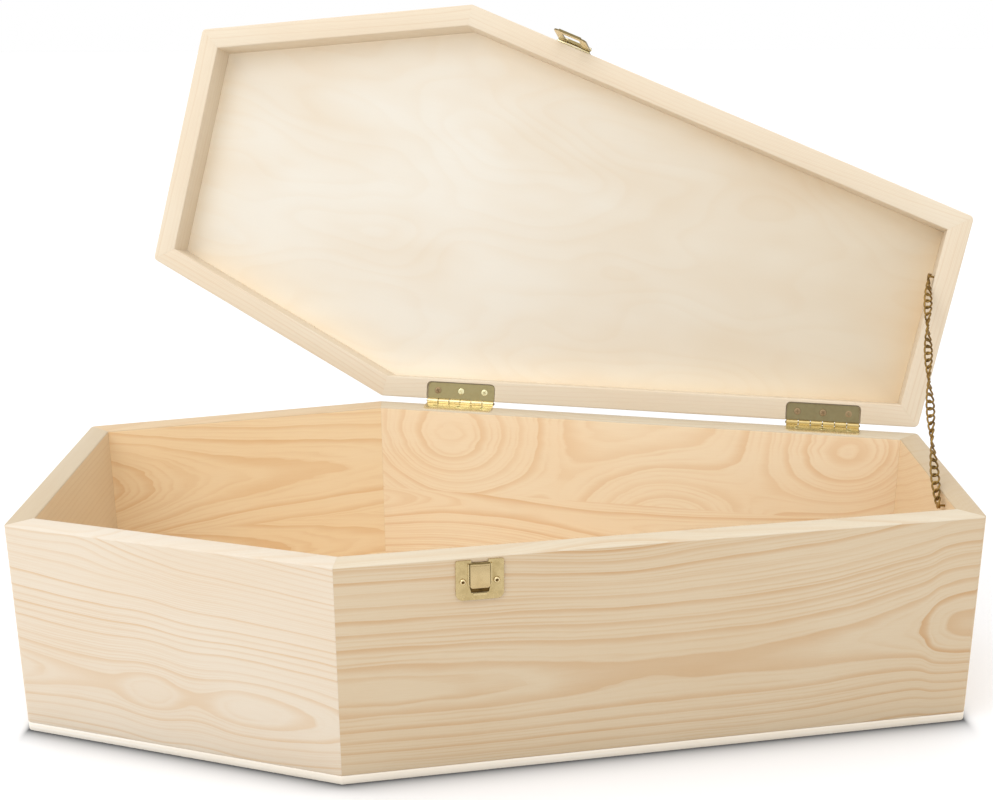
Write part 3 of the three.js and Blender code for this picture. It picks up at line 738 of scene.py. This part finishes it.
# colour, stain, roughness, share of stain, depth of the scratches
brassLooks = {
    "catch": ((184, 163, 116), (152, 130, 84), 0.22, 0.6, 0.00003),
    "tongue": ((184, 161, 116), (152, 128, 82), 0.2, 0.5, 0.00003),
    "hasp": ((214, 200, 160), (176, 160, 116), 0.18, 0.4, 0.00001),
    # edge is a dark copy of the brass: painted shade on the sides of the catch parts; the hinge pins take it
    # too
    "edge": ((120, 104, 66), (86, 70, 38), 0.3, 0.6, 0.00003),
    # slot is darker still: painted shade in the hollows of the catch plate and in the dimples of the nail
    # heads
    "slot": ((104, 80, 42), (70, 50, 22), 0.5, 0.6, 0.00003),
    # leaf and knuckle are lit copies of the hinge brass and footKnuckle a darker copy: painted light and
    # shade
    "leaf": ((228, 216, 180), (188, 170, 120), 0.2, 0.4, 0.000005),
    "knuckle": ((212, 194, 144), (172, 148, 96), 0.2, 0.4, 0.000005),
    "footKnuckle": ((184, 161, 106), (136, 112, 64), 0.24, 0.5, 0.000005),
    "nail": ((206, 186, 142), (160, 136, 90), 0.2, 0.4, 0.00001),
    # headLeaf and footLeaf, on the lid's leaves, are darker copies still: painted shade and painted
    # reflection of the dark mortise
    "headLeaf": ((150, 138, 96), (118, 104, 64), 0.3, 0.6, 0.00003),
    "footLeaf": ((128, 117, 82), (98, 86, 56), 0.32, 0.6, 0.00003),
    # screw is the lit copy for the screws that catch the light, the next one a darker copy: painted highlight
    # and painted shade
    "screw": ((232, 222, 176), (190, 168, 108), 0.16, 0.3, 0.00002),
    "shadedScrew": ((152, 128, 94), (118, 92, 62), 0.3, 0.5, 0.00003),
    "chain": ((146, 116, 64), (66, 46, 22), 0.28, 0.8, 0.00003),
}
brass = {kind: metal(kind + "Brass", *look) for kind, look in brassLooks.items()}


# ---- hinges, in their own frame: x along the pin, y outwards from the wall, z up from the box rim
def knuckleSpans(owner):
    step = hinge["length"] / hinge["knuckles"]
    return [(i * step - hinge["length"] / 2, (i + 1) * step - hinge["length"] / 2)
            for i in range(hinge["knuckles"]) if i % 2 == owner]


def screwTurn(owner, x):
    height = hinge["sheet"] if owner else 2 * hinge["above"] - hinge["sheet"]
    place = Matrix.Translation((x, -hinge["screwIn"], height))
    return place if owner else place @ Matrix.Rotation(math.pi, 4, "X")


# owner 0 is the lid's leaf, 1 the box's
def hingeLeaf(owner):
    half, sheet, barrel = hinge["length"] / 2, hinge["sheet"], hinge["barrel"]
    low = 0.0 if owner else 2 * hinge["above"] - sheet
    outline = softRectangle(-half, half, -hinge["reach"], hinge["behind"], hinge["corner"], 0.1)
    plate = prism(outline, low, low + sheet)
    axis = (hinge["behind"], hinge["above"])
    adds = [rod(barrel, start, end, *axis, ease=0.3) for start, end in knuckleSpans(owner)]
    cuts = [rod(hinge["pin"] + hinge["clear"], -half - 1, half + 1, *axis)]
    wall, gap = axis[0] - barrel - hinge["clear"], hinge["gap"]
    for start, end in knuckleSpans(1 - owner):
        cuts.append(block((start - gap, wall, axis[1] - 3), (end + gap, axis[0] + 3, axis[1] + 3)))
    wide = hinge["headRadius"] + 0.15
    for step in (-1, 0, 1):
        hole = turned([(0, -3), (1.2, -3), (1.2, -hinge["headDepth"]), (wide, 0), (wide, 1.0), (0, 1.0)])
        cuts.append(moved(hole, screwTurn(owner, step * hinge["screwStep"])))
    return carve("hingeLeaf", plate, adds, cuts, soften=0.14)


# countersunk screw with a cross recess
def crossScrew():
    head, shank, long = hinge["headRadius"], hinge["shank"], hinge["screwLength"]
    body = turned([(0, -long), (0.35, -long + 1.2), (shank, -long + 2.6), (shank, -hinge["headDepth"]),
                   (head - 0.05, -0.12), (head - 0.12, 0.0), (1.4, 0.14), (0, 0.18)])
    arms = [block((-1.25, -0.24, -0.75), (1.25, 0.24, 1)), block((-0.24, -1.25, -0.75), (0.24, 1.25, 1))]
    return carve("crossScrew", body, cuts=arms)


def addHinges():
    leaves = {"lid": hingeLeaf(0), "box": hingeLeaf(1)}
    screw = crossScrew()
    half = hinge["length"] / 2 + hinge["overhang"]
    pin = carve("hingePin", rod(hinge["pin"], -half, half, hinge["behind"], hinge["above"], ease=0.3))
    turns = random.Random(7)
    for which in hingePlaces:
        frameAt = hingeFrame(which)
        # the lid's leaves take a darker brass than the box's, and the foot's knuckles a darker one than the
        # head's: painted shade and painted reflection
        rolled = brass["knuckle" if which == "head" else "footKnuckle"]
        setPiece(f"hinge_{which}_pin_round", pin, brass["edge"], "base", frameAt,
                 (f"hinge_{which}_pin",))
        for part, owner, body, lift in (("lid", 0, "lid", lidOpen), ("box", 1, "base", Matrix.Identity(4))):
            node = f"hinge_{which}_{part}_leaf"
            kind = "leaf" if part == "box" else which + "Leaf"
            setPiece(node + "_rolled", leaves[part], brass[kind], body, lift @ frameAt, (node,),
                     (rolled, lambda face: face.center.y > hinge["behind"] - hinge["barrel"]))
            for number, step in enumerate((-1, 0, 1), 1):
                node = f"hinge_{which}_{part}_screw_{number}"
                spin = Matrix.Rotation(turns.uniform(0, math.pi / 2), 4, "Z")
                place = lift @ frameAt @ screwTurn(owner, step * hinge["screwStep"]) @ spin
                # the screws picked to catch the light get the bright brass, the rest the darker one: painted
                # highlight and painted shade
                bright = part == "box" or (which == "head" and number > 1)
                setPiece(node + "_cross", screw, brass["screw" if bright else "shadedScrew"], body, place,
                         (node,))


addHinges()
print("hinges done")


# ---- catch on the front, in its own frame: x along the front, -y outwards, z up from the box rim
catch = {
    "slide": 81.2, "sheet": 1.0, "off": 0.1, "width": 27.4, "height": 24.2, "belowRim": 1.6, "corner": 4.2,
    "topCorner": 1.2, "notchWidth": 9.6, "notchDepth": 1.5, "tongueWidth": 11.2, "tongueTop": 3.6,
    "tongueLength": 14.8, "tongueOff": 2.5, "tongueSheet": 0.95, "roll": 1.3, "cheekGap": 0.5,
    "cheekWidth": 0.8, "cheekOff": 1.9, "cheekLength": 13.0, "lipWidth": 8.0, "lipHeight": 1.4,
    "lipOff": 1.5, "lipBelow": 3.2, "nailRadius": 1.9, "nailIn": 4.1, "nailBelow": 12.8,
}
hasp = {
    "plateWidth": 26.0, "plateHeight": 13.5, "plateAbove": 1.4, "barrel": 1.6, "axis": (-3.0, 3.4),
    "pin": 0.7, "clear": 0.15, "width": 25.0, "knuckle": 10.4, "reach": 28.5, "bar": 6.4,
    "windowWidth": 13.4, "windowTop": 4.6, "inner": 2.0, "flare": 0.6, "corner": 4.0, "rest": 2.0,
    "nailIn": 4.5, "nailDown": 4.0,
}
catchFrame = edgeFrame(corners[1], corners[2], catch["slide"] / 1000, coffin["rim"]) @ millimetre


def nailHole():
    return turned([(0, -9), (1.0, -9), (1.0, 3), (0, 3)])


def nailTurn(x, z):
    place = Matrix.Translation((x, -catch["sheet"] - catch["off"], z))
    return place @ Matrix.Rotation(math.radians(90), 4, "X")


def roundNail():
    radius = catch["nailRadius"]
    return carve("roundNail", turned([(0, -7), (0.3, -6), (0.8, -5), (0.8, 0), (radius, 0), (radius, 0.16),
                                      (radius - 0.2, 0.5), (1.4, 0.72), (0.95, 0.72), (0.7, 0.25), (0, 0.1)]))


# faces turned away from the front, which get the darker brass: painted shade
def sideways(face):
    return face.normal.y > -0.8


def boxPlate():
    half, sheet = catch["width"] / 2, catch["sheet"]
    top = -catch["belowRim"]
    outline = softRectangle(-half, half, top - catch["height"], top, catch["corner"], catch["topCorner"])
    plate = standing(outline, catch["off"], sheet)
    adds, cuts = [], []
    inner = catch["tongueWidth"] / 2 + catch["cheekGap"]
    for side in (-1, 1):
        low, high = sorted((side * inner, side * (inner + catch["cheekWidth"])))
        adds.append(block((low, -catch["cheekOff"], -catch["tongueTop"] - catch["cheekLength"]),
                          (high, -sheet / 2, -catch["tongueTop"])))
        cuts.append(moved(nailHole(), nailTurn(side * (half - catch["nailIn"]), top - catch["nailBelow"])))
    lipTop = -catch["tongueTop"] - catch["tongueLength"] - catch["lipBelow"]
    adds.append(block((-catch["lipWidth"] / 2, -catch["lipOff"], lipTop - catch["lipHeight"]),
                      (catch["lipWidth"] / 2, -sheet / 2, lipTop)))
    notch = catch["notchWidth"] / 2
    cuts.append(block((-notch, -3, top - catch["notchDepth"]), (notch, 1, top + 1)))
    slotTop = lipTop + catch["lipBelow"] + 1.0             # pressed hollow that shows below the tongue
    slot = [(-5.0, lipTop + 0.3), (5.0, lipTop + 0.3), (5.9, slotTop), (-5.9, slotTop)]
    cuts.append(standing(slot, 0.35, 1.6))
    return carve("boxPlate", plate, adds, cuts, soften=0.16)


def springTongue():
    sheet, off, roll = catch["tongueSheet"], catch["tongueOff"], catch["roll"]
    back = catch["sheet"] + catch["off"]
    top, bottom = -catch["tongueTop"], -catch["tongueTop"] - catch["tongueLength"]
    outline = [(top, back)]
    for step in range(7):                                  # the rolled upper edge
        angle = math.radians(30 * step)
        outline.append((top - roll / 2 + roll / 2 * math.cos(angle),
                        back + roll * 0.5 + roll / 2 * math.sin(angle)))
    outline += [(top - roll - 0.5, back + roll * 0.72), (bottom + 0.5, off), (bottom + 0.1, off - 0.15),
                (bottom, off - 0.4), (bottom, off - sheet - 0.2), (bottom + sheet, off - sheet),
                (top - 2 * roll, back)]
    strip = bentStrip(outline, catch["tongueWidth"])
    half = catch["tongueWidth"] / 2
    nibs = []
    for side in (-1, 1):                                   # rounds the two free corners
        edge = side * half
        corner = [(edge, bottom - 1), (edge, bottom + 1.8), (edge - side * 0.25, bottom + 0.9),
                  (edge - side * 0.9, bottom + 0.25), (edge - side * 1.8, bottom),
                  (edge - side * 1.8, bottom - 1)]
        wide = [(x + side * 0.5 if x == edge else x, z) for x, z in corner]
        nibs.append(standing(wide if side > 0 else list(reversed(wide)), 0, 6))
    return carve("springTongue", strip, cuts=nibs, soften=0.12)


def lidPlate():
    half, sheet, barrel = hasp["plateWidth"] / 2, catch["sheet"], hasp["barrel"]
    top = hasp["plateAbove"] + hasp["plateHeight"]
    outline = softRectangle(-half, half, hasp["plateAbove"], top, catch["topCorner"], catch["corner"])
    plate = standing(outline, catch["off"], sheet)
    adds = []
    inner = hasp["knuckle"] / 2 + 0.2
    for side in (-1, 1):
        low, high = sorted((side * inner, side * hasp["width"] / 2))
        adds.append(rod(barrel, low, high, *hasp["axis"], ease=0.1))
        adds.append(block((low, *hasp["axis"]), (high, -sheet / 2, hasp["axis"][1] + 1.3)))
    cuts = [rod(hasp["pin"] + hasp["clear"], -half - 1, half + 1, *hasp["axis"]),
            rod(barrel + hasp["clear"], -inner, inner, *hasp["axis"])]
    for side in (-1, 1):
        cuts.append(moved(nailHole(), nailTurn(side * (half - hasp["nailIn"]), top - hasp["nailDown"])))
    return carve("lidPlate", plate, adds, cuts, soften=0.12)


def haspFlap():
    half, knuckle = hasp["width"] / 2, hasp["knuckle"] / 2
    near, far = hasp["inner"], hasp["inner"] + catch["sheet"]
    bottom = hasp["axis"][1] - hasp["reach"]
    top = hasp["axis"][1] - hasp["barrel"] - 0.2
    plate = standing(softRectangle(-half, half, bottom, top, hasp["corner"], 0.8), near, far)
    lip = far + hasp["flare"]
    tip = [(bottom, near), (bottom + 3.0, far - 0.3), (bottom + 1.4, far + 0.5), (bottom + 0.5, lip),
           (bottom - 0.2, lip), (bottom - 0.5, lip - 0.3)]
    adds = [rod(hasp["barrel"], -knuckle, knuckle, *hasp["axis"], ease=0.1),
            block((-knuckle, -far, top - 1), (knuckle, -near, hasp["axis"][1])),
            bentStrip(tip, 2 * (half - hasp["corner"]))]
    window = softRectangle(-hasp["windowWidth"] / 2, hasp["windowWidth"] / 2, bottom + hasp["bar"],
                           hasp["axis"][1] - hasp["windowTop"], 1.0, 1.0)
    cuts = [rod(hasp["pin"] + hasp["clear"], -half, half, *hasp["axis"]), standing(window, 0, 6)]
    flap = carve("haspFlap", plate, adds, cuts, soften=0.2)
    pin = Matrix.Translation((0, *hasp["axis"]))
    flap.transform(pin @ Matrix.Rotation(-math.radians(hasp["rest"]), 4, "X") @ pin.inverted())
    return flap


def addCatch():
    onLid = lidOpen @ catchFrame
    half, slotFloor = catch["tongueWidth"] / 2, -catch["tongueTop"] - catch["tongueLength"]
    # the plate's hollow and its faces turned from the front near the middle get the dark slot brass: painted
    # shade
    setPiece("catch_box_plate_pressed", boxPlate(), brass["catch"], "base", catchFrame,
             ("catch_box_plate",),
             (brass["slot"], lambda face: sideways(face) and abs(face.center.x) < half
              or -0.5 < face.center.y < -0.2 and abs(face.center.z - slotFloor) < 4))
    setPiece("catch_tongue_spring", springTongue(), brass["tongue"], "base", catchFrame,
             ("catch_tongue",), (brass["edge"], sideways))
    # the lid plate is dark brass with the pale hasp brass on its outward and downward faces: painted shade
    # and painted light
    setPiece("catch_lid_plate_pressed", lidPlate(), brass["edge"], "lid", onLid,
             ("catch_lid_plate",),
             (brass["hasp"], lambda face: face.normal.y < -0.9 or face.normal.z < -0.6))
    half = hasp["width"] / 2 + hinge["overhang"]
    pin = carve("haspPin", rod(hasp["pin"], -half, half, *hasp["axis"], ease=0.25))
    setPiece("catch_hasp_pin_round", pin, brass["hasp"], "lid", onLid, ("catch_hasp_pin",))
    # the flap's sides get the dark brass: painted shade
    setPiece("catch_hasp_flap", haspFlap(), brass["hasp"], "hasp", onLid, ("catch_hasp",),
             (brass["edge"], lambda face: abs(face.normal.y) < 0.8))
    nail = roundNail()
    boxNail = (catch["width"] / 2 - catch["nailIn"], -catch["belowRim"] - catch["nailBelow"])
    lidNail = (hasp["plateWidth"] / 2 - hasp["nailIn"],
               hasp["plateAbove"] + hasp["plateHeight"] - hasp["nailDown"])
    for part, (x, z), place, body in (("box", boxNail, catchFrame, "base"), ("lid", lidNail, onLid, "lid")):
        for number, side in ((1, -1), (2, 1)):
            node = f"catch_{part}_nail_{number}"
            # the dimple in each nail head gets the dark slot brass: painted shade
            setPiece(node + "_round", nail, brass["nail"], body, place @ nailTurn(side * x, z),
                     (node,),
                     (brass["slot"], lambda face: math.hypot(face.center.x, face.center.y) < 0.8))


addCatch()
print("catch done")


# ---- chain: curb links, each twisted so that they lie in one another
chainLook = {
    "tackBox": (0.275, -0.042, 0.1308), "offBox": 0.0033,
    "tackLid": (0.275, -0.029, 0.1425), "offLid": 0.0027,
    "sway": 0.0033, "pitch": 0.0056, "halfLength": 0.0036, "halfWidth": 0.0024, "twist": 0.00072,
    "wire": 0.00066, "around": 20, "sides": 8, "turns": 4.0,
}


def curbLink(frameAt):
    points, faces = [], []
    around, sides = chainLook["around"], chainLook["sides"]
    for i in range(around):
        angle = 2 * math.pi * i / around
        centre = Vector((chainLook["halfLength"] * math.cos(angle), chainLook["halfWidth"] * math.sin(angle),
                         chainLook["twist"] * math.sin(2 * angle)))
        ahead = Vector((-chainLook["halfLength"] * math.sin(angle), chainLook["halfWidth"] * math.cos(angle),
                        2 * chainLook["twist"] * math.cos(2 * angle))).normalized()
        side = ahead.cross(upwards).normalized()
        top = side.cross(ahead)
        for j in range(sides):
            spin = 2 * math.pi * j / sides
            rim = side * math.cos(spin) + top * math.sin(spin)
            points.append(tuple(frameAt @ (centre + rim * chainLook["wire"])))
    for i in range(around):
        for j in range(sides):
            here, turned = i * sides + j, i * sides + (j + 1) % sides
            ahead = ((i + 1) % around) * sides
            faces.append((here, turned, ahead + (j + 1) % sides, ahead + j))
    return points, faces


def chainHalves():
    low = Vector(chainLook["tackBox"]) - Vector((chainLook["offBox"], 0, 0))
    high = lidOpen @ (Vector(chainLook["tackLid"]) - Vector((chainLook["offLid"], 0, 0)))
    span = (high - low).length
    facing = Vector((-1, 0, 0))
    lidFacing = (lidOpen.to_3x3() @ facing).normalized()

    def spot(share):
        share = min(1.0, max(0.0, share))
        sway = chainLook["sway"] * math.sqrt(math.sin(math.pi * share))
        return low.lerp(high, share) - Vector((sway, 0, 0))

    hook = chainLook["halfLength"] - 0.0012
    free = span - 2 * hook
    count = round(free / chainLook["pitch"])
    halves = {"chain_lower": ([], []), "chain_upper": ([], [])}
    for i in range(count + 1):
        share = (hook + free * i / count) / span
        ahead = (spot(share + 0.01) - spot(share - 0.01)).normalized()
        look = facing.lerp(lidFacing, share)
        side = look.cross(ahead).normalized()
        turn = Matrix((ahead, side, ahead.cross(side))).transposed()
        # the chain turns slowly on itself, but both its ends lie flat to the wood
        angle = math.pi * chainLook["turns"] * (share - 0.04 * math.sin(math.pi * share))
        spin = Matrix.Rotation(angle, 3, "X")
        frameAt = Matrix.Translation(spot(share)) @ (turn @ spin).to_4x4()
        points, faces = curbLink(frameAt)
        half = halves["chain_lower" if i <= count // 2 else "chain_upper"]
        start = len(half[0])
        half[0].extend(points)
        half[1].extend([tuple(corner + start for corner in face) for face in faces])
    return halves, low, high


# round-headed tack: its shank goes along z into the wood
def chainTack(standOff):
    back = (standOff + chainLook["wire"] + 0.0003) * 1000
    profile = [(0, -8), (0.3, -7), (0.75, -5.5), (0.75, back), (2.0, back), (2.1, back + 0.15),
               (1.95, back + 0.45), (1.3, back + 0.8), (0, back + 0.9)]
    return carve("tack", turned(profile))


def addTacks():
    turn = Matrix.Rotation(-math.radians(90), 4, "Y") @ millimetre
    low = Matrix.Translation(chainLook["tackBox"]) @ turn
    high = lidOpen @ Matrix.Translation(chainLook["tackLid"]) @ turn
    setPiece("chain_box_tack_round", chainTack(chainLook["offBox"]), brass["chain"], "base", low,
             ("chain_box_tack",))
    setPiece("chain_lid_tack_round", chainTack(chainLook["offLid"]), brass["chain"], "lid", high,
             ("chain_lid_tack",))


addTacks()
halves, chainLow, chainHigh = chainHalves()
for name, body, anchor in (("chain_lower", "base", chainLow), ("chain_upper", "lid", chainHigh)):
    mesh = bpy.data.meshes.new(name)
    mesh.from_pydata(halves[name][0], [], halves[name][1])
    mesh.validate()
    mesh.materials.append(brass["chain"])
    mesh.shade_smooth()
    half = placed(name, mesh)
    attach(half, body)
    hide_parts("chain")
    tuple(anchor)
    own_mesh(half)
print("chain done")


# ---- floor, backdrop light and soft lamps
floorLook = {"pale": (0.88, 0.885, 0.9), "shade": 0.85, "reach": 0.0075, "fall": 1.1, "ends": 3.0}


# how much of its tone the floor keeps: it gets darker close to the lower edges of the box
def contactShade(tree):
    place = tree.nodes.new("ShaderNodeTexCoord").outputs["Object"]
    far = None
    for away, out in sideDistances(place, corners):
        if abs(out.x) > 0.9:                               # narrower along the two ends
            away = times(away, floorLook["ends"])
        away = calc("POWER", calc("MAXIMUM", away, 0.0), 2.0)
        far = calc("ADD", far, away) if far else away
    far = calc("POWER", calc("DIVIDE", calc("SQRT", far), floorLook["reach"]), floorLook["fall"])
    fading = calc("EXPONENT", times(far, -1.0))
    return times(fading, -floorLook["shade"], 1.0)


def addFloor():
    half = 6.0
    square = [(-half, -half, 0), (half, -half, 0), (half, half, 0), (-half, half, 0)]
    mesh = bpy.data.meshes.new("floor")
    mesh.from_pydata(square, [], [(0, 1, 2, 3)])
    floor = placed("floor", mesh)
    material, tree, shader = startMaterial("paleFloor")
    tree.links.new(vector("SCALE", floorLook["pale"], contactShade(tree)), shader.inputs["Base Color"])
    shader.inputs["Roughness"].default_value = 0.7
    shader.inputs["Specular IOR Level"].default_value = 0.1
    mesh.materials.append(material)


lamps = {
    "leftSoft": {"kind": "AREA", "place": (-0.85, -0.75, 1.15), "aim": (-0.1, 0.1, 0.3),
                 "size": 0.9, "power": 3.4},
    "skySoft": {"kind": "SUN", "place": (-0.5, -0.4, 2.0), "aim": (0, 0, 0.05),
                "size": 80.0, "power": 0.95},
}


def addLamps():
    for name, lamp in lamps.items():
        data = bpy.data.lights.new(name, lamp["kind"])
        data.energy = lamp["power"]
        if lamp["kind"] == "SUN":
            data.angle = math.radians(lamp["size"])
        else:
            data.shape = "DISK"
            data.size = lamp["size"]
        light = placed(name, data)
        light.location = lamp["place"]
        aim = Vector(lamp["aim"]) - Vector(lamp["place"])
        light.rotation_euler = aim.to_track_quat("-Z", "Y").to_euler()


def addWorld():
    world = bpy.data.worlds.new("studio")
    world.use_nodes = True
    world.node_tree.nodes["Background"].inputs["Color"].default_value = (1, 1, 1, 1)
    world.node_tree.nodes["Background"].inputs["Strength"].default_value = 1.0
    scene.world = world


addFloor()
addLamps()
addWorld()
scene.view_settings.view_transform = "Standard"
scene.view_settings.look = "None"
print("floor and lamps done")
